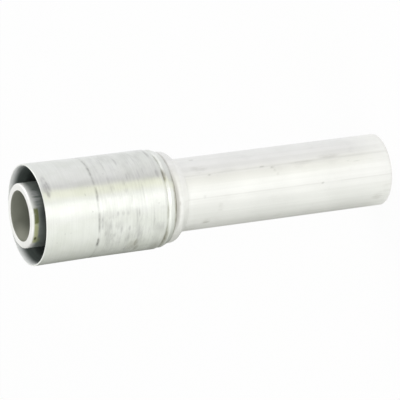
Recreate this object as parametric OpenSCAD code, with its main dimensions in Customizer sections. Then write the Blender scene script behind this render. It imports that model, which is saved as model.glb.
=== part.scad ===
// Aluminium hose end: a formed tube stem with a crimp shell swaged on behind its bead.
// The axis is Z. The plain tube end stands at Z = 0 and the hose end points up.

/* [Plain tube] */
// Outside diameter of the tube
tube_od = 19.05; // [17:0.05:21]
// Wall of the tube
tube_wall = 1.65; // [1.2:0.05:2]
// Length of tube from its cut end to the foot of the bead
tube_length = 59.2; // [30:0.1:120]
// Break on the edges of the cut end
tube_edge = 0.2; // [0.1:0.05:0.5]

/* [Bead] */
// Outside diameter of the bead
bead_od = 24; // [23:0.05:25]
// Slope of the bead's back, from the axis
bead_slope = 43; // [35:1:55]
// Length of the bead at its full diameter
bead_land = 2; // [1.5:0.1:4]
// Radius of the hollow where the bead leaves the tube
bead_foot_radius = 1; // [0.4:0.1:1.4]
// Radius over the bead's back
bead_crest_radius = 2; // [0.5:0.1:2.2]
// Break on the front edge of the bead
bead_front_edge = 0.25; // [0.1:0.05:0.4]

/* [Neck under the shell] */
// Length of neck from the bead's front to where it narrows
neck_length = 6.2; // [5.6:0.1:9]
// Length over which the neck narrows to the nipple
neck_taper = 2; // [1:0.1:4]
// Distance from the bead's front to the middle of the locking groove
lock_from_bead = 2.35; // [2:0.05:3]
// Width of the locking groove in the neck
lock_width = 2; // [1.6:0.1:2.4]
// Depth of the locking groove in the neck
lock_depth = 0.5; // [0.2:0.05:0.6]

/* [Nipple] */
// Outside diameter of the nipple
nipple_od = 16.8; // [15.5:0.05:17.5]
// Wall of the nipple
nipple_wall = 1.82; // [1.3:0.01:2]
// Distance from the bead's front to the nose of the nipple
nipple_reach = 38.6; // [38:0.1:60]
// Radius over the outer edge of the nose
nose_radius = 0.5; // [0.3:0.05:1]
// Break on the inner edge of the nose
nose_inner_edge = 0.2; // [0.1:0.05:0.4]
// Number of grip grooves round the nipple
grip_count = 4; // [0:1:5]
// Distance between grip grooves
grip_pitch = 4.6; // [4:0.1:5]
// Depth of a grip groove
grip_depth = 0.45; // [0.2:0.05:0.6]
// Radius of the round bottom of a grip groove
grip_radius = 1.8; // [1:0.1:2.5]
// Distance from the nose to the middle of the first grip groove
grip_from_nose = 9; // [6:0.1:10]

/* [Crimp shell] */
// Outside diameter of the shell
shell_od = 26.04; // [25.6:0.02:30]
// Wall of the shell round the hose
shell_wall = 1.3; // [1:0.05:1.6]
// Length of the shell
shell_length = 36.6; // [34:0.1:37]
// Length of the thick collar at the back of the shell
collar_length = 5.6; // [5:0.1:6.2]
// Length from the back of the shell to the end of the rolled stretch
rolled_length = 22.2; // [18:0.1:28]
// Growth in diameter from the rolled stretch to the mouth
mouth_flare = 0.36; // [0:0.02:0.6]
// Width of the flat lip at the mouth
lip_land = 0.3; // [0.2:0.05:0.5]
// Length of the taper from the lip in to the bore
mouth_taper = 4; // [2:0.5:6]
// Break on the outer edge of the lip
lip_edge = 0.1; // [0.05:0.05:0.2]
// Radial clearance between the shell and the stem
seat_clearance = 0.05; // [0.02:0.01:0.1]

/* [Rolled back end of the shell] */
// Drop in radius from the shell to its back edge
back_drop = 0.9; // [0.5:0.05:1]
// Radius over the back edge
back_edge_radius = 0.35; // [0.1:0.05:0.5]
// Drop in radius from the shell to the crest of the back ring
ring_drop = 0.15; // [0.05:0.05:0.3]
// Radius over the crest of the back ring
ring_radius = 0.5; // [0.2:0.05:0.6]
// Distance from the back edge to the crest of the back ring
ring_from_back = 1.75; // [1.5:0.05:1.9]
// Depth of the rolled groove below the shell
groove_depth = 0.55; // [0.4:0.05:0.8]
// Radius in the bottom of the rolled groove
groove_radius = 0.25; // [0.1:0.05:0.3]
// Width of the rolled groove from its middle to the shell
groove_front_width = 0.85; // [0.7:0.05:1.2]
// Radius where the shell turns into the groove
groove_edge_radius = 1.2; // [0.4:0.1:2]

/* [Hidden] */
$fn = 96;

// Steps in each rounded corner of an outline
arc_steps = 8;

tube_r = tube_od / 2;
tube_bore_r = tube_r - tube_wall;
bead_r = bead_od / 2;
bead_back = tube_length + (bead_r - tube_r) / tan(bead_slope);
bead_front = bead_back + bead_land;
neck_end = bead_front + neck_length;
lock_z = bead_front + lock_from_bead;
nipple_r = nipple_od / 2;
nipple_bore_r = nipple_r - nipple_wall;
nipple_start = neck_end + neck_taper;
nose_z = bead_front + nipple_reach;
first_grip_z = nose_z - grip_from_nose;

shell_r = shell_od / 2;
shell_bore_r = shell_r - shell_wall;
seat_r = tube_r + seat_clearance;
lock_ridge_r = tube_r - lock_depth + seat_clearance;
lock_ridge_width = lock_width - 2 * sqrt(2) * seat_clearance;
shell_mouth = bead_front + shell_length;
collar_front = bead_front + collar_length;
rolled_end = bead_front + rolled_length;
mouth_r = shell_r + mouth_flare / 2;
taper_end = shell_mouth - mouth_taper;
ring_z = bead_front + ring_from_back;
groove_front_z = lock_z + groove_front_width;

// A corner is [radius, height, rounding]. Two rounded corners share the edge between them.
function flat(p) = [p.x, p.y];
function unit(v) = v / norm(v);
function share(p, q) = norm(flat(q - p)) * p.z / (p.z + q.z);
function arc(a, p, b) =
    let(
        u = unit(flat(a - p)),
        v = unit(flat(b - p)),
        half = acos(u * v) / 2,
        reach = min(p.z / tan(half), share(p, a), share(p, b)),
        centre = flat(p) + unit(u + v) * reach / cos(half),
        spoke = flat(p) + u * reach - centre,
        step = (180 - 2 * half) * sign(cross(u, v)) / arc_steps
    )
    [
        for (i = [0:arc_steps])
            centre + [
                spoke.x * cos(i * step) + spoke.y * sin(i * step),
                spoke.y * cos(i * step) - spoke.x * sin(i * step)
            ]
    ];
function outline(corners) =
    let(n = len(corners))
    [
        for (i = [0:n - 1])
            let(p = corners[i])
            each (p.z > 0 ? arc(corners[(i + n - 1) % n], p, corners[(i + 1) % n]) : [flat(p)])
    ];

// Solid of revolution of one closed section.
module turned(corners) {
    rotate_extrude()
        polygon(outline(corners));
}

// Ring with 45 degree flanks, as wide as the given width at the tube's outside.
module lock_ring(inner_r, outer_r, width) {
    inner_half = width / 2 + inner_r - tube_r;
    outer_half = width / 2 + outer_r - tube_r;
    rotate_extrude()
        polygon([
            [inner_r, lock_z - inner_half],
            [outer_r, lock_z - outer_half],
            [outer_r, lock_z + outer_half],
            [inner_r, lock_z + inner_half]
        ]);
}

// Round-bottomed groove that grips the hose.
module grip_groove(z) {
    rotate_extrude()
        translate([nipple_r - grip_depth + grip_radius, z])
            circle(r = grip_radius);
}

// Plain tube, bead, neck and nipple, with the way through them.
module stem_form() {
    turned([
        [tube_bore_r, 0, tube_edge],
        [tube_r, 0, tube_edge],
        [tube_r, tube_length, bead_foot_radius],
        [bead_r, bead_back, bead_crest_radius],
        [bead_r, bead_front, bead_front_edge],
        [tube_r, bead_front, 0],
        [tube_r, neck_end, 0],
        [nipple_r, nipple_start, 0],
        [nipple_r, nose_z, nose_radius],
        [nipple_bore_r, nose_z, nose_inner_edge],
        [nipple_bore_r, nipple_start, 0],
        [tube_bore_r, neck_end, 0]
    ]);
}

module tube_stem() {
    color("gainsboro")
        difference() {
            stem_form();
            lock_ring(tube_r - lock_depth, seat_r, lock_width);
            for (i = [0:1:grip_count - 1])
                grip_groove(first_grip_z - i * grip_pitch);
        }
}

// Thick collar with the rolled groove and ring outside it, then the thinner wall that takes the hose.
module shell_form() {
    turned([
        [seat_r, bead_front, 0],
        [shell_r - back_drop, bead_front, back_edge_radius],
        [shell_r - ring_drop, ring_z, ring_radius],
        [shell_r - groove_depth, lock_z, groove_radius],
        [shell_r, groove_front_z, groove_edge_radius],
        [shell_r, rolled_end, 0],
        [mouth_r, shell_mouth, lip_edge],
        [mouth_r - lip_land, shell_mouth, 0],
        [shell_bore_r, taper_end, 0],
        [shell_bore_r, collar_front, 0],
        [seat_r, collar_front, 0]
    ]);
}

// The rolled groove has pressed a ridge into the neck's locking groove.
module crimp_shell() {
    color("silver")
        union() {
            shell_form();
            lock_ring(lock_ridge_r, seat_r + seat_clearance, lock_ridge_width);
        }
}

tube_stem();
crimp_shell();
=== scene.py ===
"""Looks of an aluminium hose end: a formed tube stem, and the crimp shell rolled on in front of its bead.

The part stands on its plain tube end, with the axis on Z and the mouth of the shell up. Heights and radii
below are in millimetres, as on a drawing, and MM turns them into metres. The stage's sizes are in metres.
An angle round the axis is in degrees: 0 faces the camera and +90 is the side that the photograph shows at
its top.
"""

import math

import bpy
from mathutils import Matrix, Vector

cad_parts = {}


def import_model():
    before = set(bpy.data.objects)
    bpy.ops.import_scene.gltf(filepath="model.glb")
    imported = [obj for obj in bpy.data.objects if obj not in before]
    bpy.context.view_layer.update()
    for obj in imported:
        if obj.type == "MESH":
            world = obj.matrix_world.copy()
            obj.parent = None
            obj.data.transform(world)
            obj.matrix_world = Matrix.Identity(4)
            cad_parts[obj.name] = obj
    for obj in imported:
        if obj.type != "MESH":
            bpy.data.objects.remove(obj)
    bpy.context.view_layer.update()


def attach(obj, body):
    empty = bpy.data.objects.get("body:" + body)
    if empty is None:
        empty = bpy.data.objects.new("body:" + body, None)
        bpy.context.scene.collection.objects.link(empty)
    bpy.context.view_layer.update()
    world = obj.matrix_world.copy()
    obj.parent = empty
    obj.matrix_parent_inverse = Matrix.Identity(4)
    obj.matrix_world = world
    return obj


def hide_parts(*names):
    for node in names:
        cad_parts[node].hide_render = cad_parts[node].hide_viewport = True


MM = 0.001
BODY = "root"

# Stem, as on the drawing
TUBE_R = 9.525
TUBE_BORE_R = 7.875
TUBE_LENGTH = 59.2
TUBE_EDGE = 0.2
BEAD_R = 12.0
BEAD_SLOPE = 43
BEAD_LAND = 2.0
BEAD_FOOT_R = 1.0
BEAD_CREST_R = 2.0
BEAD_FRONT_EDGE = 0.25
NECK_LENGTH = 6.2
NECK_TAPER = 2.0
LOCK_FROM_BEAD = 2.35
LOCK_HALF = 1.0
LOCK_DEPTH = 0.5
NIPPLE_R = 8.4
NIPPLE_BORE_R = 6.58
NIPPLE_REACH = 38.6
NOSE_EDGE_R = 0.5
NOSE_INNER_EDGE = 0.2
GRIP_COUNT = 4
GRIP_PITCH = 4.6
GRIP_FROM_NOSE = 9.0
GRIP_DEPTH = 0.45
GRIP_R = 1.8

# Shell, as on the drawing
SHELL_R = 13.02
SHELL_BORE_R = 11.72
SHELL_LENGTH = 36.6
SEAT_CLEARANCE = 0.05
COLLAR_LENGTH = 5.6
ROLLED_LENGTH = 22.2
MOUTH_GROWTH = 0.18
LIP_LAND = 0.3
LIP_EDGE = 0.1
MOUTH_TAPER = 4.0
BACK_DROP = 0.9
BACK_EDGE_R = 0.35
RING_FROM_BACK = 1.75
RING_DROP = 0.15
RING_CREST_R = 0.5
GROOVE_DEPTH = 0.55
GROOVE_BOTTOM_R = 0.25
GROOVE_HALF = 0.85
GROOVE_EDGE_R = 1.2

# Ridge inside the collar: its radius, and half its width at the foot and at the top
RIDGE_R = 9.075
RIDGE_FOOT = 0.98
RIDGE_TOP = 0.48

# Radii and heights that follow from these
SEAT_R = TUBE_R + SEAT_CLEARANCE
MOUTH_R = SHELL_R + MOUTH_GROWTH
LIP_R = MOUTH_R - LIP_LAND
BEAD_BACK = TUBE_LENGTH + (BEAD_R - TUBE_R) / math.tan(math.radians(BEAD_SLOPE))
BEAD_FRONT = BEAD_BACK + BEAD_LAND
RING_Z = BEAD_FRONT + RING_FROM_BACK
LOCK_Z = BEAD_FRONT + LOCK_FROM_BEAD
GROOVE_FRONT = LOCK_Z + GROOVE_HALF
COLLAR_FRONT = BEAD_FRONT + COLLAR_LENGTH
NECK_END = BEAD_FRONT + NECK_LENGTH
NIPPLE_START = NECK_END + NECK_TAPER
ROLLED_END = BEAD_FRONT + ROLLED_LENGTH
SHELL_MOUTH = BEAD_FRONT + SHELL_LENGTH
TAPER_END = SHELL_MOUTH - MOUTH_TAPER
NOSE_Z = BEAD_FRONT + NIPPLE_REACH
GRIP_Z = [NOSE_Z - GRIP_FROM_NOSE - GRIP_PITCH * i for i in range(GRIP_COUNT)]

# Mesh fineness: cuts round a turned piece, steps in a rounded corner, the sharpest smooth edge in degrees
CUTS = 288
ARC_STEPS = 8
SMOOTH_TO = 32

# Longest row of faces along each stretch of a section, fine where it is seen and coarse where it is hidden
SEEN = 0.16
HIDDEN = 1.6
TUBE_ROW = 0.6
GRIP_ROW = 0.5
NIPPLE_BORE_ROW = 1.0
LIP_ROW = 0.1
TAPER_ROW = 0.3
SHELL_BORE_ROW = 0.8

# Circle that the sections are swept along, in metres, and what counts as the same radius, in mm
PATH_R = 0.001
SAME_R = 0.01


# ---------------------------------------------------------------- node helpers


def add(tree, kind, inputs=(), out=0, **settings):
    """One node with its settings, and its inputs as values or links. Gives its output socket."""
    node = tree.nodes.new(kind)
    for name, value in settings.items():
        setattr(node, name, value)
    for key, value in inputs.items() if isinstance(inputs, dict) else enumerate(inputs):
        if isinstance(value, bpy.types.NodeSocket):
            tree.links.new(value, node.inputs[key])
        elif value is not None:
            node.inputs[key].default_value = value
    return node.outputs[out]


def calc(tree, operation, *values):
    return add(tree, "ShaderNodeMath", values, operation=operation)


def plus(tree, result, *others):
    for other in others:
        result = calc(tree, "ADD", result, other)
    return result


def minus(tree, value, other):
    return calc(tree, "SUBTRACT", value, other)


def times(tree, result, *others):
    for other in others:
        result = calc(tree, "MULTIPLY", result, other)
    return result


def diagonal(tree, across, along):
    """Length of the diagonal over two lengths."""
    return calc(tree, "SQRT", plus(tree, times(tree, across, across), times(tree, along, along)))


def distance(tree, value, centre):
    return calc(tree, "ABSOLUTE", minus(tree, value, centre))


def ramp(tree, value, start, end, low=0.0, high=1.0):
    """Smooth step from low at start to high at end."""
    return add(
        tree,
        "ShaderNodeMapRange",
        {"Value": value, "From Min": start, "From Max": end, "To Min": low, "To Max": high},
        interpolation_type="SMOOTHSTEP",
    )


def band(tree, value, centre, half):
    """1 at the centre, falling to 0 at half a width to either side."""
    return ramp(tree, distance(tree, value, centre), half, 0.0)


def spot(tree, z, turn, place):
    """Soft oval at (height, angle), with its half height and half angle."""
    height, angle, half_height, half_angle = place
    up = calc(tree, "DIVIDE", minus(tree, z, height), half_height)
    side = calc(tree, "DIVIDE", minus(tree, turn, angle), half_angle)
    return ramp(tree, diagonal(tree, up, side), 1.0, 0.25)


def patch(tree, z, turn, place):
    """Even patch with soft edges at (height, angle), with its half height and half angle."""
    height, angle, half_height, half_angle = place
    up = ramp(tree, distance(tree, z, height), half_height, half_height * 0.5)
    side = ramp(tree, distance(tree, turn, angle), half_angle, half_angle * 0.7)
    return times(tree, up, side)


def noise(tree, vector, scale=1.0, detail=2.0, roughness=0.5, seed=0.0):
    return add(
        tree,
        "ShaderNodeTexNoise",
        {"Vector": vector, "W": seed, "Scale": scale, "Detail": detail, "Roughness": roughness},
        noise_dimensions="4D",
    )


def streaky(tree, place, across, along, **settings):
    """Noise scaled across the axis and along it: it runs round the part where along is the larger."""
    scaled = add(tree, "ShaderNodeVectorMath", (place, (across, across, along)), operation="MULTIPLY")
    return noise(tree, scaled, **settings)


def coordinate(tree, place, axis):
    return add(tree, "ShaderNodeSeparateXYZ", (place,), out=axis)


def height_of(tree, place):
    """Height in mm of a position in metres."""
    return times(tree, coordinate(tree, place, "Z"), 1 / MM)


def turn_of(tree, place):
    """Angle round the axis, in degrees, of a position."""
    x, y = coordinate(tree, place, "X"), coordinate(tree, place, "Y")
    return calc(tree, "DEGREES", calc(tree, "ARCTAN2", x, times(tree, y, -1.0)))


def radius_of(tree, place):
    """Radius in mm of a position in metres."""
    x, y = coordinate(tree, place, "X"), coordinate(tree, place, "Y")
    return times(tree, diagonal(tree, x, y), 1 / MM)


# ---------------------------------------------------------------- turned sections


def rounded(before, corner, after):
    """Points of one rounded corner. Two rounded corners share the edge between them."""
    p = Vector(corner[:2])
    if not corner[2]:
        return [p]
    to_before, to_after = Vector(before[:2]) - p, Vector(after[:2]) - p
    u, v = to_before.normalized(), to_after.normalized()
    half = math.acos(max(-1.0, min(1.0, u.dot(v)))) / 2
    reach = min(
        corner[2] / math.tan(half),
        to_before.length * corner[2] / (corner[2] + before[2]),
        to_after.length * corner[2] / (corner[2] + after[2]),
    )
    centre = p + (u + v).normalized() * (reach / math.cos(half))
    spoke = p + u * reach - centre
    step = (math.pi - 2 * half) * (1 if u.x * v.y - u.y * v.x > 0 else -1) / ARC_STEPS
    return [centre + Matrix.Rotation(-i * step, 2) @ spoke for i in range(ARC_STEPS + 1)]


def section(corners):
    """Closed section from corners of [radius, height, rounding, longest row after it]."""
    count = len(corners)
    points = []
    for i, corner in enumerate(corners):
        after = corners[(i + 1) % count]
        arc = rounded(corners[i - 1], corner, after)
        start, end = arc[-1], rounded(corner, after, corners[(i + 2) % count])[0]
        rows = max(1, math.ceil((end - start).length / corner[3]))
        points += arc + [start.lerp(end, k / rows) for k in range(1, rows)]
    return points


def gripped(point):
    """The nipple's outside drawn in where a grip groove crosses it."""
    radius, height = point
    if abs(radius - NIPPLE_R) < SAME_R:
        for middle in GRIP_Z:
            if abs(height - middle) < GRIP_R:
                sag = math.sqrt(GRIP_R**2 - (height - middle) ** 2)
                radius = min(radius, NIPPLE_R - GRIP_DEPTH + GRIP_R - sag)
    return Vector((radius, height))


def stem_section():
    corners = [
        (TUBE_BORE_R, 0, TUBE_EDGE, SEEN),
        (TUBE_R, 0, TUBE_EDGE, TUBE_ROW),
        (TUBE_R, TUBE_LENGTH, BEAD_FOOT_R, SEEN),
        (BEAD_R, BEAD_BACK, BEAD_CREST_R, SEEN),
        (BEAD_R, BEAD_FRONT, BEAD_FRONT_EDGE, HIDDEN),
        (TUBE_R, BEAD_FRONT, 0, HIDDEN),
        (TUBE_R, LOCK_Z - LOCK_HALF, 0, HIDDEN),
        (TUBE_R - LOCK_DEPTH, LOCK_Z - LOCK_HALF + LOCK_DEPTH, 0, HIDDEN),
        (TUBE_R - LOCK_DEPTH, LOCK_Z + LOCK_HALF - LOCK_DEPTH, 0, HIDDEN),
        (TUBE_R, LOCK_Z + LOCK_HALF, 0, HIDDEN),
        (TUBE_R, NECK_END, 0, HIDDEN),
        (NIPPLE_R, NIPPLE_START, 0, GRIP_ROW),
        (NIPPLE_R, NOSE_Z, NOSE_EDGE_R, SEEN),
        (NIPPLE_BORE_R, NOSE_Z, NOSE_INNER_EDGE, NIPPLE_BORE_ROW),
        (NIPPLE_BORE_R, NIPPLE_START, 0, HIDDEN),
        (TUBE_BORE_R, NECK_END, 0, HIDDEN),
    ]
    return [gripped(point) for point in section(corners)]


def shell_section():
    corners = [
        (SEAT_R, BEAD_FRONT, 0, HIDDEN),
        (SHELL_R - BACK_DROP, BEAD_FRONT, BACK_EDGE_R, SEEN),
        (SHELL_R - RING_DROP, RING_Z, RING_CREST_R, SEEN),
        (SHELL_R - GROOVE_DEPTH, LOCK_Z, GROOVE_BOTTOM_R, SEEN),
        (SHELL_R, GROOVE_FRONT, GROOVE_EDGE_R, SEEN),
        (SHELL_R, ROLLED_END, 0, SEEN),
        (MOUTH_R, SHELL_MOUTH, LIP_EDGE, LIP_ROW),
        (LIP_R, SHELL_MOUTH, 0, TAPER_ROW),
        (SHELL_BORE_R, TAPER_END, 0, SHELL_BORE_ROW),
        (SHELL_BORE_R, COLLAR_FRONT, 0, HIDDEN),
        (SEAT_R, COLLAR_FRONT, 0, HIDDEN),
        (SEAT_R, LOCK_Z + RIDGE_FOOT, 0, HIDDEN),
        (RIDGE_R, LOCK_Z + RIDGE_TOP, 0, HIDDEN),
        (RIDGE_R, LOCK_Z - RIDGE_TOP, 0, HIDDEN),
        (SEAT_R, LOCK_Z - RIDGE_FOOT, 0, HIDDEN),
    ]
    return section(corners)


# ---------------------------------------------------------------- turning and surface marks


def turning_tree(name, sizes, surface_marks):
    """Sweeps a section round the axis, then lets surface_marks press its marks in and give the finishes."""
    tree = bpy.data.node_groups.new(name, "GeometryNodeTree")
    tree.interface.new_socket("Geometry", in_out="INPUT", socket_type="NodeSocketGeometry")
    tree.interface.new_socket("Geometry", in_out="OUTPUT", socket_type="NodeSocketGeometry")
    for size, value in sizes.items():
        kind = "NodeSocketInt" if isinstance(value, int) else "NodeSocketFloat"
        tree.interface.new_socket(size, in_out="INPUT", socket_type=kind)
    given = tree.nodes.new("NodeGroupInput").outputs
    path_sizes = {"Resolution": given["Cuts round"], "Radius": PATH_R}
    path = add(tree, "GeometryNodeCurvePrimitiveCircle", path_sizes)
    outline = add(tree, "GeometryNodeMeshToCurve", (given["Geometry"],))
    turned = add(tree, "GeometryNodeCurveToMesh", {"Curve": path, "Profile Curve": outline})
    finished = surface_marks(tree, given, turned)
    made = add(tree, "GeometryNodeRealizeInstances", (finished,))
    end = tree.nodes.new("NodeGroupOutput")
    tree.links.new(made, end.inputs["Geometry"])
    return tree


def keep(tree, geometry, name, value):
    """Stores a field on the points, for the material to read."""
    return add(
        tree,
        "GeometryNodeStoreNamedAttribute",
        {"Geometry": geometry, "Name": name, "Value": value},
        data_type="FLOAT",
        domain="POINT",
    )


def press(tree, geometry, depth):
    """Moves the surface in along its normal, by a depth in mm."""
    move = {0: add(tree, "GeometryNodeInputNormal"), "Scale": times(tree, depth, -MM)}
    inwards = add(tree, "ShaderNodeVectorMath", move, operation="SCALE")
    return add(tree, "GeometryNodeSetPosition", {"Geometry": geometry, "Offset": inwards})


def finish_faces(tree, geometry, outside, inside, radius, limit):
    """One finish for the whole piece, and another where the radius is under the limit."""
    whole = add(tree, "GeometryNodeSetMaterial", {"Geometry": geometry, "Material": outside})
    near_axis = calc(tree, "LESS_THAN", radius, limit)
    inner = {"Geometry": whole, "Selection": near_axis, "Material": inside}
    return add(tree, "GeometryNodeSetMaterial", inner)


def turn_piece(name, points, tree, sizes):
    """A turned piece as a plain mesh: the section as a closed line, swept by the tree."""
    line = bpy.data.meshes.new(name)
    # The line runs clockwise in radius and height, so that the swept faces point outwards
    places = [(point.x * MM - PATH_R, -point.y * MM, 0) for point in reversed(points)]
    line.from_pydata(places, [(i, (i + 1) % len(places)) for i in range(len(places))], [])
    carrier = bpy.data.objects.new(name + "_section", line)
    bpy.context.scene.collection.objects.link(carrier)
    work = carrier.modifiers.new("turning", "NODES")
    work.node_group = tree
    for item in tree.interface.items_tree:
        if item.in_out == "INPUT" and item.name in sizes:
            work[item.identifier] = sizes[item.name]
    carrier.update_tag()
    ready = bpy.context.evaluated_depsgraph_get()
    mesh = bpy.data.meshes.new_from_object(carrier.evaluated_get(ready), depsgraph=ready)
    carrier.modifiers.remove(work)
    bpy.data.objects.remove(carrier)
    mesh.name = name
    mesh.polygons.foreach_set("use_smooth", [True] * len(mesh.polygons))
    mesh.set_sharp_from_angle(angle=math.radians(SMOOTH_TO))
    piece = bpy.data.objects.new(name, mesh)
    bpy.context.scene.collection.objects.link(piece)
    return piece


# Stretches of the line where the roller's stroke ended: angle, half angle, strength
LINE_ARCS = [
    (58, 12, 0.40),
    (46, 14, 0.60),
    (30, 9, 0.35),
    (13, 12, 0.60),
    (-1, 8, 0.25),
    (-20, 16, 0.60),
    (-46, 9, 1.00),
    (-60, 12, 0.20),
]

# Grey scuffs on the shell: height above the front of the bead, angle, half height, half angle, strength
SCUFFS = [
    (34.9, 29, 1.50, 15, 0.90),
    (35.1, 38, 1.10, 9, 0.60),
    (34.9, 20, 0.80, 7, 0.90),
    (11.4, -19, 0.35, 12, 0.45),
    (10.7, -42, 0.45, 15, 0.45),
    (12.7, 30, 0.40, 6, 0.40),
    (17.8, 18, 0.35, 7, 0.45),
    (21.15, -20, 0.45, 12, 0.90),
    (17.85, 50, 0.35, 13, 0.40),
    (17.95, 28, 0.40, 11, 0.40),
    (17.35, 18, 0.90, 5, 0.35),
    (13.85, 55, 0.45, 10, 0.65),
    (14.05, 22, 0.60, 5, 0.35),
    (13.85, 13, 0.80, 4, 0.35),
    (8.85, 54, 0.40, 8, 0.40),
    (9.25, 32, 0.35, 9, 0.50),
    (7.85, 34, 0.30, 7, 0.40),
    (9.25, 12, 0.30, 13, 0.25),
    (4.25, 64, 0.45, 15, 0.65),
    (4.25, 29, 0.50, 8, 0.70),
    (16.85, -12, 0.50, 4, 0.55),
    (15.35, -12, 0.55, 4, 0.55),
    (13.95, -13, 0.50, 4, 0.55),
    (11.55, -14, 0.35, 9, 0.55),
    (10.85, -14, 0.35, 8, 0.65),
    (6.75, -24, 0.22, 17, 0.70),
    (20.15, -34, 0.50, 5, 0.55),
    (18.95, -26, 0.40, 7, 0.40),
    (17.55, -38, 0.55, 4, 0.45),
    (15.75, -32, 0.50, 7, 0.45),
    (13.55, -31, 0.45, 5, 0.60),
    (13.55, -46, 0.45, 13, 0.35),
    (13.55, -63, 0.50, 8, 0.45),
    (31.55, -27.5, 0.35, 1.6, 0.50),
    (29.95, -27.5, 0.25, 1.3, 0.40),
]

# Brownish stains on the shell, and darkening in its rolled groove that is grime and painted shade, in the
# same way
STAINS_AND_GROOVE_SHADE = [
    (10.95, -55, 0.80, 9, 0.75),
    (10.25, -66, 0.90, 9, 0.60),
    (12.05, -60, 1.80, 13, 0.40),
    (4.95, -70, 1.60, 16, 0.35),
    # Grime and painted shade in the rolled groove
    (2.65, -60, 1.00, 36, 1.00),
    (2.75, -18, 0.55, 13, 0.70),
    (2.45, 26, 0.75, 12, 1.00),
    (2.55, 51, 0.55, 13, 0.60),
    (2.55, 5, 0.40, 12, 0.30),
    (2.65, 150, 0.60, 60, 0.60),
    # Grime at the shell's back edge, by the bead
    (0.15, -12, 0.75, 60, 1.00),
    (0.15, 60, 0.50, 40, 0.60),
    (0.15, -90, 0.50, 60, 0.60),
]

# Nicks in the tube, in the same way
NICKS = [
    (-8.95, 64.5, 0.55, 3.4, 1.00),
    (-9.05, -8.2, 0.34, 5.0, 0.60),
    (-11.75, 26.0, 0.60, 1.8, 0.90),
    (-26.85, 28.6, 0.90, 2.0, 0.90),
    (-29.75, 25.2, 0.65, 2.4, 0.90),
    (-30.35, 20.0, 0.40, 5.0, 0.50),
    (-30.85, 13.0, 0.30, 3.2, 0.35),
    (-43.25, -10.4, 0.60, 2.2, 0.90),
    (-51.55, 19.6, 0.70, 1.2, 0.40),
    (-54.05, 17.6, 1.10, 1.2, 0.50),
    (-28.15, -18.0, 0.14, 8.0, 0.35),
    (-36.45, 140.0, 0.80, 2.5, 0.80),
    (-19.45, -150.0, 0.60, 3.0, 0.70),
]

# Grey smudges on the tube and the bead, in the same way
SMUDGES = [
    (-13.75, -28, 1.0, 10, 0.45),
    (-10.25, -54, 1.4, 9, 0.75),
    (-5.50, -68, 4.8, 14, 0.45),
    (-62.60, -38, 2.0, 32, 0.16),
    (-63.70, 15, 0.7, 80, 0.36),
    (-60.3, -47, 2.4, 11, 0.50),
    (-17.45, 31, 3.0, 4, 0.45),
    (-38.45, 27, 6.0, 4, 0.30),
    (-46.45, 32, 4.0, 6, 0.35),
    (-9.45, 40, 3.0, 14, 0.30),
    (-0.15, -12, 1.3, 56, 1.00),
    (-0.05, 60, 0.5, 40, 0.60),
    (-0.05, -90, 0.5, 60, 0.60),
    (-0.75, -10.5, 0.8, 6, 0.80),
    (-1.10, -58, 1.6, 26, 0.30),
]

# Draw lines along the tube: the angle of each, and half its width as an angle
DRAW_LINES = [28.0, -10.0]
DRAW_LINE_HALF = 1.6

# Line that the roller left: its height, how far it sways up, and how far it fades to either side
LINE_Z = ROLLED_END - 0.45
LINE_SWAY = 0.5
LINE_FADE = 0.55

# Radii between which the marks on the shell's outside set in
SHELL_SKIN = (12.2, 12.5)


def marked_at(tree, z, turn, marks):
    """The strongest of a list of oval marks."""
    result = 0.0
    above = minus(tree, z, BEAD_FRONT)
    for *place, strength in marks:
        mark = times(tree, spot(tree, above, turn, place), strength)
        result = calc(tree, "MAXIMUM", result, mark)
    return result


def line_strength(tree, place, turn):
    """How hard the roller bit along the line: as seen from the front, and at random behind."""
    chance = ramp(tree, streaky(tree, place, 120.0, 0.0, seed=5.0), 0.35, 0.65, 0.1, 0.7)
    result = times(tree, chance, ramp(tree, calc(tree, "ABSOLUTE", turn), 60.0, 90.0, 0.2, 1.0))
    for angle, half, strength in LINE_ARCS:
        arc = ramp(tree, distance(tree, turn, angle), half, half * 0.4, 0.0, strength)
        result = calc(tree, "MAXIMUM", result, arc)
    return result


def shell_marks(tree, given, turned):
    place = add(tree, "GeometryNodeInputPosition")
    z, turn, radius = height_of(tree, place), turn_of(tree, place), radius_of(tree, place)
    set_in = ramp(tree, z, GROOVE_FRONT, GROOVE_FRONT + 0.8)
    rolled = times(tree, set_in, ramp(tree, z, ROLLED_END, ROLLED_END - 0.4))
    rings = minus(tree, streaky(tree, place, 45.0, 2200.0, detail=1.0, seed=given["Seed"]), 0.5)
    rings = times(tree, rings, ramp(tree, rolled, 0.0, 1.0, 0.1, 1.0))
    # Line that the roller left where its stroke ended
    sway = streaky(tree, place, 160.0, 0.0, seed=2.0)
    line_z = plus(tree, LINE_Z, times(tree, sway, LINE_SWAY))
    line = times(tree, band(tree, z, line_z, LINE_FADE), line_strength(tree, place, turn))
    # Shallow patches that the roller pressed round the shell
    loose = streaky(tree, place, 210.0, 900.0, detail=1.0, seed=9.0)
    patches = times(tree, ramp(tree, loose, 0.5, 0.7), rolled)
    scuff = marked_at(tree, z, turn, SCUFFS)
    depth = plus(
        tree,
        times(tree, rings, given["Ring depth"]),
        times(tree, line, given["Line depth"]),
        times(tree, plus(tree, scuff, patches), given["Scuff depth"]),
    )
    shaped = press(tree, turned, times(tree, depth, ramp(tree, radius, *SHELL_SKIN)))
    marked = keep(tree, shaped, "line", line)
    marked = keep(tree, marked, "scuff", scuff)
    marked = keep(tree, marked, "stain_and_shade", marked_at(tree, z, turn, STAINS_AND_GROOVE_SHADE))
    marked = keep(tree, marked, "rolled", rolled)
    # The inner finish reaches to the bore at the back, and to the thin lip's edge in front
    limit = ramp(tree, z, GROOVE_FRONT + 2, GROOVE_FRONT + 6, 12.0, LIP_R - 0.02)
    return finish_faces(tree, marked, shell_metal(), shell_inside(), radius, limit)


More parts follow.
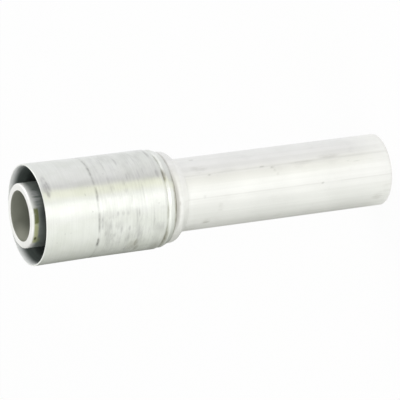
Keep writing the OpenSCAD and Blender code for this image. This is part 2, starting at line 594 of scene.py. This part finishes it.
def stem_marks(tree, given, turned):
    place = add(tree, "GeometryNodeInputPosition")
    z, turn, radius = height_of(tree, place), turn_of(tree, place), radius_of(tree, place)
    tube = ramp(tree, z, TUBE_LENGTH + 0.2, TUBE_LENGTH - 0.8)
    outside = times(tree, ramp(tree, radius, TUBE_R - 0.2, TUBE_R), tube)
    fade = streaky(tree, place, 0.0, 140.0, seed=given["Seed"])
    lines = plus(tree, *(band(tree, turn, angle, DRAW_LINE_HALF) for angle in DRAW_LINES))
    lines = times(tree, lines, ramp(tree, fade, 0.35, 0.6, 0.35, 1.0))
    lines = times(tree, lines, ramp(tree, z, BEAD_BACK, BEAD_BACK - 1.5))
    fine = minus(tree, streaky(tree, place, 900.0, 6.0, detail=1.0, seed=3.0), 0.5)
    nicks = marked_at(tree, z, turn, NICKS)
    depth = plus(
        tree,
        times(tree, lines, given["Draw line depth"]),
        times(tree, fine, given["Draw line depth"]),
        times(tree, nicks, given["Nick depth"]),
    )
    shaped = press(tree, turned, times(tree, depth, outside))
    marked = keep(tree, shaped, "draw_line", lines)
    marked = keep(tree, marked, "nick", nicks)
    marked = keep(tree, marked, "smudge", marked_at(tree, z, turn, SMUDGES))
    # The inner finish reaches just over the bore, which narrows at the end of the neck
    limit = ramp(tree, z, NECK_END, NIPPLE_START, TUBE_BORE_R + 0.05, NIPPLE_BORE_R + 0.05)
    return finish_faces(tree, marked, stem_metal(), stem_bore(), radius, limit)


def make_shell():
    sizes = {"Cuts round": CUTS, "Ring depth": 0.008, "Line depth": 0.05, "Scuff depth": 0.02, "Seed": 4.0}
    tree = turning_tree("shell_turning", sizes, shell_marks)
    piece = turn_piece("crimp_shell_finished", shell_section(), tree, sizes)
    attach(piece, BODY)
    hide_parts("crimp_shell")


def make_stem():
    sizes = {"Cuts round": CUTS, "Draw line depth": 0.012, "Nick depth": 0.05, "Seed": 7.0}
    tree = turning_tree("stem_turning", sizes, stem_marks)
    piece = turn_piece("tube_stem_finished", stem_section(), tree, sizes)
    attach(piece, BODY)
    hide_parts("tube_stem")


# ---------------------------------------------------------------- finishes

# Patches by the nipple's nose: stains, and the shaded patch, the pale reflection and the bore's light, which
# are painted shade and light. Each has its depth behind the nose, angle, half height, half angle
SHADED = (3.5, -6, 2.1, 24)
PALE_REFLECTION = (2.0, 30, 2.2, 26)
PALE_PATCH = (1.15, -35, 0.74, 28)
GREEN_PATCH = (1.27, -4, 0.80, 16)
PATCH_FOOT = (1.8, -52, 1.1, 11)
PATCH_HOLE = (1.1, -47.5, 0.52, 5.5)
BORE_PAINTED_LIGHT = (2.4, -128, 3.6, 45)

# Painted shade that starts sooner on one side of the shell's mouth, in the same way behind the lip
MOUTH_SHADE_SOONER = (1.7, 100, 1.7, 42)


def empty_finish(name):
    """An empty material and its tree."""
    finish = bpy.data.materials.new(name)
    finish.use_nodes = True
    finish.node_tree.nodes.clear()
    return finish, finish.node_tree


def show(tree, shader, end="ShaderNodeOutputMaterial"):
    """Makes a shader the one that the tree shows."""
    tree.links.new(shader, tree.nodes.new(end).inputs["Surface"])


def metal_finish(name):
    """A material, its tree and its metal shader."""
    finish, tree = empty_finish(name)
    shader = tree.nodes.new("ShaderNodeBsdfPrincipled")
    show(tree, shader.outputs["BSDF"])
    return finish, tree, shader


def object_place(tree):
    return add(tree, "ShaderNodeTexCoord", out="Object")


def mix_colour(tree, amount, low, high):
    node = tree.nodes.new("ShaderNodeMix")
    node.data_type = "RGBA"
    for key, value in ((0, amount), (6, low), (7, high)):
        if isinstance(value, bpy.types.NodeSocket):
            tree.links.new(value, node.inputs[key])
        else:
            node.inputs[key].default_value = value if key == 0 else (*value, 1)
    return node.outputs[2]


def read(tree, name):
    """A field that the geometry tree stored."""
    return add(tree, "ShaderNodeAttribute", out="Fac", attribute_name=name)


def dulled(tree, colour, amount, share, dull):
    """The colour mixed towards another, as a rule a duller one, by a share of the amount."""
    return mix_colour(tree, times(tree, amount, share), colour, dull)


def relief(tree, height, strength, depth, below=None):
    """Fine relief with a depth in mm, on the relief below it."""
    sizes = {"Strength": strength, "Distance": depth * MM, "Height": height, "Normal": below}
    return add(tree, "ShaderNodeBump", sizes, out="Normal")


def behind(end, place):
    """A patch's place, with its height instead of its depth behind an end."""
    depth, *rest = place
    return (end - depth, *rest)


def shell_smear_and_shade(tree, place, turn, rolled):
    """Smears drawn out round the rolled stretch, thickest low on the front: their weighting by angle is
    painted shade below and a painted highlight across the front, on real smears.
    """
    smear = streaky(tree, place, 200.0, 560.0, detail=5.0, roughness=0.62, seed=9.0)
    area = noise(tree, place, scale=130.0, detail=2.0, seed=12.0)
    covered = times(tree, ramp(tree, smear, 0.42, 0.64), ramp(tree, area, 0.36, 0.6, 0.15, 1.0))
    # Weighting by angle: painted shade low on the front, and a lighter band where the highlight falls
    low, high = ramp(tree, turn, -5.0, -17.0, 0.36, 1.0), ramp(tree, turn, 12.0, 28.0, 0.36, 0.52)
    return times(tree, covered, times(tree, calc(tree, "MAXIMUM", low, high), rolled))


def shell_colour(tree, place, rings, smear, rolled):
    """Bright metal with fine rings, smears partly painted shade, scuffs, the roller's line, stains with
    painted shade in the groove, and a few dark specks.
    """
    cloud = noise(tree, place, scale=230.0, detail=4.0, seed=2.0)
    colour = mix_colour(tree, ramp(tree, cloud, 0.3, 0.7), (0.82, 0.84, 0.785), (0.885, 0.90, 0.86))
    # The rings are strong only where the roller ran
    ring_shade = times(tree, ramp(tree, rings, 0.6, 0.35), ramp(tree, rolled, 0.0, 1.0, 0.10, 0.18))
    colour = mix_colour(tree, ring_shade, colour, (0.55, 0.56, 0.54))
    # Smears, with painted shade from their weighting by angle
    colour = dulled(tree, colour, smear, 0.39, (0.44, 0.44, 0.43))
    broken = streaky(tree, place, 700.0, 1900.0, detail=3.0, seed=3.0)
    ragged = ramp(tree, broken, 0.35, 0.6, 0.5, 1.0)
    colour = dulled(tree, colour, times(tree, read(tree, "scuff"), ragged), 0.68, (0.40, 0.40, 0.40))
    colour = dulled(tree, colour, times(tree, read(tree, "line"), ragged), 0.95, (0.19, 0.19, 0.18))
    # Stains, with painted shade in the rolled groove
    colour = dulled(tree, colour, times(tree, read(tree, "stain_and_shade"), ragged), 0.8, (0.31, 0.295, 0.215))
    speck = ramp(tree, streaky(tree, place, 900.0, 1500.0, seed=15.0), 0.70, 0.76)
    return dulled(tree, colour, speck, 0.35, (0.35, 0.35, 0.33))


def shell_metal():
    """Satin aluminium: clean towards the mouth, and marked and smeared round by the roller behind that."""
    finish, tree, shader = metal_finish("shell_satin_aluminium")
    place = object_place(tree)
    rolled = read(tree, "rolled")
    rings = streaky(tree, place, 60.0, 3800.0, detail=3.0, seed=1.0)
    smear = shell_smear_and_shade(tree, place, turn_of(tree, place), rolled)
    colour = shell_colour(tree, place, rings, smear, rolled)
    tree.links.new(colour, shader.inputs["Base Color"])
    rough = plus(
        tree,
        ramp(tree, rings, 0.3, 0.7, 0.30, 0.36),
        times(tree, read(tree, "scuff"), 0.1),
        times(tree, smear, 0.1),
    )
    tree.links.new(rough, shader.inputs["Roughness"])
    shader.inputs["Metallic"].default_value = 1.0
    # The rings run round the shell, so its gloss is drawn out along it
    shader.inputs["Anisotropic"].default_value = 0.8
    shader.inputs["Anisotropic Rotation"].default_value = 0.25
    tangent = add(tree, "ShaderNodeTangent", direction_type="RADIAL", axis="Z")
    tree.links.new(tangent, shader.inputs["Tangent"])
    # Gentle waves left by the rolling, which break up what the metal mirrors, and the rings on them
    waves = streaky(tree, place, 260.0, 200.0, detail=2.0, seed=17.0)
    swell = relief(tree, waves, 0.5, 0.15)
    tree.links.new(relief(tree, rings, 0.12, 0.01, swell), shader.inputs["Normal"])
    return finish


def shell_inside():
    """The shell's taper and bore: bright at the lip, dull and dark further in, with grime and painted shade
    that deepen inwards.
    """
    finish, tree, shader = metal_finish("shell_bore_dull")
    place = object_place(tree)
    z, turn = height_of(tree, place), turn_of(tree, place)
    rings = streaky(tree, place, 60.0, 2600.0, detail=2.0, seed=11.0)
    grime_and_shade = mix_colour(tree, rings, (0.09, 0.11, 0.10), (0.15, 0.17, 0.16))
    # Painted shade with the bore's grime: darker with depth behind the lip, and sooner on one side
    depth = minus(tree, SHELL_MOUTH, z)
    sooner = times(tree, spot(tree, z, turn, behind(SHELL_MOUTH, MOUTH_SHADE_SOONER)), 0.8)
    grime_and_depth_shade = calc(tree, "MAXIMUM", ramp(tree, depth, 0.0, 2.1), sooner)
    colour = mix_colour(tree, grime_and_depth_shade, (0.95, 0.96, 0.95), grime_and_shade)
    tree.links.new(colour, shader.inputs["Base Color"])
    shader.inputs["Metallic"].default_value = 0.9
    shader.inputs["Roughness"].default_value = 0.7
    return finish


def stem_skin(tree, place, z, turn):
    """Pale drawn skin with faint lines along it, with painted shade on its under side."""
    cloud = noise(tree, place, scale=90.0, detail=3.0, seed=6.0)
    drawn = streaky(tree, place, 900.0, 9.0, detail=4.0, roughness=0.6, seed=1.0)
    mottle = streaky(tree, place, 420.0, 260.0, detail=4.0, seed=10.0)
    colour = mix_colour(tree, ramp(tree, cloud, 0.3, 0.7), (0.88, 0.883, 0.86), (0.93, 0.933, 0.91))
    colour = dulled(tree, colour, ramp(tree, drawn, 0.6, 0.4), 0.16, (0.70, 0.70, 0.67))
    colour = dulled(tree, colour, ramp(tree, mottle, 0.55, 0.75), 0.12, (0.62, 0.62, 0.60))
    # Painted shade on the under side: the tube turns duller at the lower draw line, and the whole stem once
    # more further round
    below = times(tree, ramp(tree, turn, -9.0, -11.0), ramp(tree, turn, -100.0, -60.0))
    below = times(tree, below, ramp(tree, z, BEAD_BACK - 1.5, BEAD_BACK - 4.5))
    colour = dulled(tree, colour, below, 0.10, (0.60, 0.60, 0.56))
    painted_under_shade = times(tree, ramp(tree, turn, -32.0, -76.0), ramp(tree, turn, -125.0, -90.0))
    return dulled(tree, colour, painted_under_shade, 0.22, (0.60, 0.60, 0.57))


def stem_wear_and_highlight(tree, place, z, turn, colour):
    """Draw lines, smudges and nicks, and a painted highlight on the front of the bead's sloping back."""
    colour = dulled(tree, colour, read(tree, "draw_line"), 0.22, (0.50, 0.49, 0.46))
    # Smudges are broken into streaks along the tube, and whole on the bead
    streaks = streaky(tree, place, 900.0, 160.0, detail=4.0, roughness=0.65, seed=14.0)
    broken = ramp(tree, streaks, 0.42, 0.6, 0.15, 1.0)
    whole = calc(tree, "MAXIMUM", broken, ramp(tree, z, BEAD_BACK - 1.0, BEAD_BACK))
    smudge = times(tree, read(tree, "smudge"), whole)
    colour = dulled(tree, colour, smudge, 0.68, (0.40, 0.39, 0.35))
    colour = dulled(tree, colour, read(tree, "nick"), 0.42, (0.32, 0.31, 0.28))
    # Painted highlight: the bead's sloping back is made paler on its front
    foot = ramp(tree, z, TUBE_LENGTH - 0.2, TUBE_LENGTH + 0.6)
    back = times(tree, foot, ramp(tree, z, BEAD_BACK + 0.3, BEAD_BACK - 0.6))
    side = times(tree, ramp(tree, turn, -28.0, -8.0), ramp(tree, turn, 55.0, 25.0))
    return dulled(tree, colour, times(tree, back, side), 0.5, (0.98, 0.98, 0.965))


def nipple_grime_and_painted_light(tree, place, z, turn, colour):
    """The nipple's side darker inwards with grime and painted shade, duller on its face, with a patch of
    painted shade and a paler patch of painted reflection.
    """
    # Painted shade with grime: the side grows darker inwards, into the recess inside the shell
    inside = ramp(tree, z, NOSE_Z - 0.3, NOSE_Z - 2.3)
    inside = times(tree, inside, ramp(tree, z, BEAD_FRONT, BEAD_FRONT + 0.1))
    cloud = streaky(tree, place, 500.0, 350.0, detail=3.0, seed=21.0)
    grime_and_shade = mix_colour(tree, cloud, (0.16, 0.185, 0.17), (0.34, 0.37, 0.345))
    colour = mix_colour(tree, inside, colour, grime_and_shade)
    face = ramp(tree, z, NOSE_Z - 0.8, NOSE_Z - 0.2)
    colour = dulled(tree, colour, face, 0.14, (0.55, 0.55, 0.50))
    # Painted shade: a dark patch behind the nose
    shaded = spot(tree, z, turn, behind(NOSE_Z, SHADED))
    colour = dulled(tree, colour, shaded, 0.6, (0.12, 0.13, 0.13))
    # Painted reflection: a paler streaky patch behind the nose
    fine = streaky(tree, place, 1500.0, 170.0, detail=3.0, seed=23.0)
    painted_reflection = times(tree, spot(tree, z, turn, behind(NOSE_Z, PALE_REFLECTION)), ramp(tree, fine, 0.38, 0.6))
    return dulled(tree, colour, painted_reflection, 0.6, (0.80, 0.80, 0.80))


def nose_stain(tree, place, z, turn, colour):
    """Yellow-green stain by the nose: a pale patch and a darker one, with a dark hole in the pale one."""
    ragged = ramp(tree, noise(tree, place, scale=900.0, detail=2.0, seed=22.0), 0.3, 0.5, 0.6, 1.0)
    pale = times(tree, patch(tree, z, turn, behind(NOSE_Z, PALE_PATCH)), ragged)
    colour = dulled(tree, colour, pale, 0.9, (0.60, 0.62, 0.34))
    green = times(tree, patch(tree, z, turn, behind(NOSE_Z, GREEN_PATCH)), ragged)
    colour = dulled(tree, colour, green, 0.9, (0.18, 0.20, 0.075))
    foot = spot(tree, z, turn, behind(NOSE_Z, PATCH_FOOT))
    colour = dulled(tree, colour, foot, 0.45, (0.42, 0.46, 0.22))
    hole = spot(tree, z, turn, behind(NOSE_Z, PATCH_HOLE))
    return dulled(tree, colour, hole, 0.9, (0.10, 0.10, 0.05))


def stem_metal():
    """Drawn tube with a pale matt skin, and grime and a stain on the nipple inside the shell."""
    finish, tree, shader = metal_finish("stem_matt_aluminium")
    place = object_place(tree)
    z, turn = height_of(tree, place), turn_of(tree, place)
    colour = stem_skin(tree, place, z, turn)
    for layer in (stem_wear_and_highlight, nipple_grime_and_painted_light, nose_stain):
        colour = layer(tree, place, z, turn, colour)
    tree.links.new(colour, shader.inputs["Base Color"])
    grain = noise(tree, place, scale=3500.0, detail=2.0, seed=4.0)
    tree.links.new(ramp(tree, grain, 0.3, 0.7, 0.50, 0.58), shader.inputs["Roughness"])
    shader.inputs["Metallic"].default_value = 0.9
    tree.links.new(relief(tree, grain, 0.25, 0.01), shader.inputs["Normal"])
    return finish


def stem_bore():
    """The way through the stem, dull olive grey, with painted light on one side of the nose."""
    finish, tree, shader = metal_finish("stem_bore_dull")
    place = object_place(tree)
    cloud = noise(tree, place, scale=300.0, detail=3.0, seed=8.0)
    colour = mix_colour(tree, cloud, (0.28, 0.29, 0.24), (0.39, 0.40, 0.34))
    z, turn = height_of(tree, place), turn_of(tree, place)
    # Painted light: a paler patch on one side of the bore, deeper in
    painted_bore_light = spot(tree, z, turn, behind(NOSE_Z, BORE_PAINTED_LIGHT))
    colour = mix_colour(tree, painted_bore_light, colour, (0.62, 0.63, 0.54))
    tree.links.new(colour, shader.inputs["Base Color"])
    shader.inputs["Metallic"].default_value = 0.5
    shader.inputs["Roughness"].default_value = 0.6
    return finish


# ---------------------------------------------------------------- stage, light and camera

# Half the floor's width, and the point near the part's middle that lamps and camera are set out from
FLOOR_HALF = 3.0
LOOK_AT = Vector((0, 0, 0.0514))

# Light that the studio's walls give, and how much of the floor's own white shows, where 1 is all
WALL_LIGHT = 0.8
FLOOR_WHITE = 0.9

# Camera, with angles in degrees and lengths in mm: how far the part's axis turns towards it and falls from
# level in its picture, its lens and sensor, and how far right, up and back it sees LOOK_AT
CAMERA_ELEVATION = 23.696
CAMERA_ROLL = 7.547
CAMERA_LENS = 321.377
CAMERA_SENSOR = 36.0
CAMERA_SEES = (0.303147, 2.038619, -933.858785)
CAMERA_CLIP = (0.05, 20.0)

# Lamps: angle round the part, elevation, distance, width, height, power in watts, colour
LAMPS = {
    "front": (0, 12, 0.9, 0.50, 0.4, 1.19, (1.0, 1.0, 0.97)),
    "top_side": (110, 40, 0.9, 0.6, 0.6, 1.6, (0.98, 0.98, 1.0)),
    "low_side": (-50, 40, 0.9, 0.6, 0.6, 0.8, (1.0, 1.0, 0.97)),
}

# Glowing cards, painted reflections, that stand round the part and show only in the metal: the radius of the
# inner edge, then each fold's angle and colour
CARDS = {
    "low_card": (
        0.0098,
        [
            (-180, (0.57, 0.58, 0.57)),
            (-169, (0.18, 0.19, 0.17)),
            (-150, (0.24, 0.25, 0.23)),
            (-120, (0.49, 0.50, 0.47)),
            (-90, (0.77, 0.78, 0.75)),
            (-60, (0.94, 0.95, 0.926)),
            (-38, (0.98, 0.99, 0.966)),
            (-24, (1.02, 1.02, 0.995)),
        ],
    ),
    "high_card": (
        0.02,
        [
            (22, (1.02, 1.02, 0.98)),
            (28, (1.02, 1.02, 0.89)),
            (41, (0.98, 0.98, 0.84)),
            (44, (0.69, 0.68, 0.70)),
            (54, (0.69, 0.68, 0.70)),
            (61, (0.86, 0.85, 0.87)),
            (110, (0.84, 0.84, 0.86)),
            (168, (0.93, 0.93, 0.95)),
            (180, (0.57, 0.58, 0.57)),
        ],
    ),
}

# How far out a card stands up, how high, and how far it lies above the floor
CARD_DISTANCE = 0.06
CARD_HEIGHT = 0.105
CARD_LIFT = 0.0003


def outwards(angle):
    """Level direction away from the axis, at an angle round it."""
    side = math.radians(angle)
    return Vector((math.sin(side), -math.cos(side), 0))


def aim(angle, elevation, distance):
    """Place and turn of something that looks at the part, by its angle round it and its elevation."""
    side, lift = math.radians(angle), math.radians(elevation)
    back = Vector((math.sin(side) * math.cos(lift), -math.cos(side) * math.cos(lift), math.sin(lift)))
    return LOOK_AT + back * distance, (-back).to_track_quat("-Z", "Y").to_euler()


def make_lamps():
    for name, (angle, elevation, distance, width, height, power, colour) in LAMPS.items():
        lamp = bpy.data.lights.new(name, "AREA")
        lamp.shape = "RECTANGLE"
        lamp.size, lamp.size_y = width, height
        lamp.energy = power
        lamp.color = colour
        holder = bpy.data.objects.new(name, lamp)
        holder.location, holder.rotation_euler = aim(angle, elevation, distance)
        holder.visible_camera = False
        bpy.context.scene.collection.objects.link(holder)


def seen_directly(tree):
    """1 for rays that show the background: from the camera, or off or through the object."""
    path = tree.nodes.new("ShaderNodeLightPath").outputs
    rays = [path[name] for name in ("Is Camera Ray", "Is Glossy Ray", "Is Transmission Ray")]
    return calc(tree, "MINIMUM", plus(tree, *rays), 1.0)


def make_world():
    world = bpy.data.worlds.new("studio")
    world.use_nodes = True
    tree = world.node_tree
    tree.nodes.clear()
    strength = ramp(tree, seen_directly(tree), 0.0, 1.0, WALL_LIGHT, 1.0)
    light = add(tree, "ShaderNodeBackground", {"Color": (1, 1, 1, 1), "Strength": strength})
    show(tree, light, "ShaderNodeOutputWorld")
    bpy.context.scene.world = world


def floor_finish():
    """White paper: it shows white where nothing shades it, and keeps the part's shadow."""
    finish, tree = empty_finish("floor_white_paper")
    fibre = noise(tree, object_place(tree), scale=40.0, detail=4.0)
    colour = mix_colour(tree, fibre, (0.90, 0.90, 0.89), (0.94, 0.94, 0.93))
    paper = add(tree, "ShaderNodeBsdfDiffuse", {"Color": colour})
    glow = add(tree, "ShaderNodeEmission", {"Color": (1, 1, 1, 1), "Strength": 1.0})
    share = times(tree, seen_directly(tree), FLOOR_WHITE)
    show(tree, add(tree, "ShaderNodeMixShader", (share, paper, glow)))
    return finish


def make_floor():
    mesh = bpy.data.meshes.new("floor")
    corners = [(x * FLOOR_HALF, y * FLOOR_HALF, 0) for x, y in ((-1, -1), (1, -1), (1, 1), (-1, 1))]
    mesh.from_pydata(corners, [], [(0, 1, 2, 3)])
    mesh.materials.append(floor_finish())
    floor = bpy.data.objects.new("floor", mesh)
    bpy.context.scene.collection.objects.link(floor)


def card_finish():
    """Glowing card, a painted reflection that shows in the metal at the shade it is given."""
    finish, tree = empty_finish("glowing_card")
    shade = add(tree, "ShaderNodeAttribute", out="Color", attribute_name="shade")
    show(tree, add(tree, "ShaderNodeEmission", {"Color": shade}))
    return finish


def make_cards():
    """Each card lies on the floor from its inner edge out, and stands up at its end."""
    finish = card_finish()
    up = Vector((0, 0, CARD_HEIGHT))
    lift = Vector((0, 0, CARD_LIFT))
    for name, (foot, edges) in CARDS.items():
        points, shades = [], []
        for angle, colour in edges:
            side = outwards(angle)
            points += [side * foot, side * CARD_DISTANCE, side * CARD_DISTANCE + up]
            shades += [(*colour, 1)] * 3
        faces = []
        for i in range(0, len(points) - 3, 3):
            faces += [(i, i + 3, i + 4, i + 1), (i + 1, i + 4, i + 5, i + 2)]
        mesh = bpy.data.meshes.new(name)
        mesh.from_pydata([point + lift for point in points], [], faces)
        layer = mesh.attributes.new("shade", "FLOAT_COLOR", "POINT")
        for item, shade in zip(layer.data, shades):
            item.color = shade
        mesh.materials.append(finish)
        card = bpy.data.objects.new(name, mesh)
        card.visible_camera = card.visible_shadow = card.visible_diffuse = False
        bpy.context.scene.collection.objects.link(card)


def make_camera():
    """Camera of the photograph: a long lens, with the mouth towards it, rolled so that the part lies across.

    Its axes are X right, Y up and Z back, and upright is the part's axis as it sees it.
    """
    lift, roll = math.radians(CAMERA_ELEVATION), math.radians(CAMERA_ROLL)
    upright = Vector((-math.cos(lift) * math.cos(roll), -math.cos(lift) * math.sin(roll), math.sin(lift)))
    ahead = Vector((0, 0, -1))
    away = (ahead - upright * ahead.dot(upright)).normalized()
    side = away.cross(upright)
    turn = Matrix((side, away, upright))
    camera = bpy.data.objects.new("camera", bpy.data.cameras.new("camera"))
    camera.data.lens = CAMERA_LENS
    camera.data.sensor_width = CAMERA_SENSOR
    camera.data.clip_start, camera.data.clip_end = CAMERA_CLIP
    offset = turn @ Vector(CAMERA_SEES) * MM
    camera.matrix_world = Matrix.Translation(LOOK_AT - offset) @ turn.to_4x4()
    bpy.context.scene.collection.objects.link(camera)
    bpy.context.scene.camera = camera


def main():
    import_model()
    bpy.context.scene.view_settings.view_transform = "Standard"
    make_camera()
    make_world()
    make_floor()
    make_lamps()
    make_cards()
    make_shell()
    make_stem()


main()
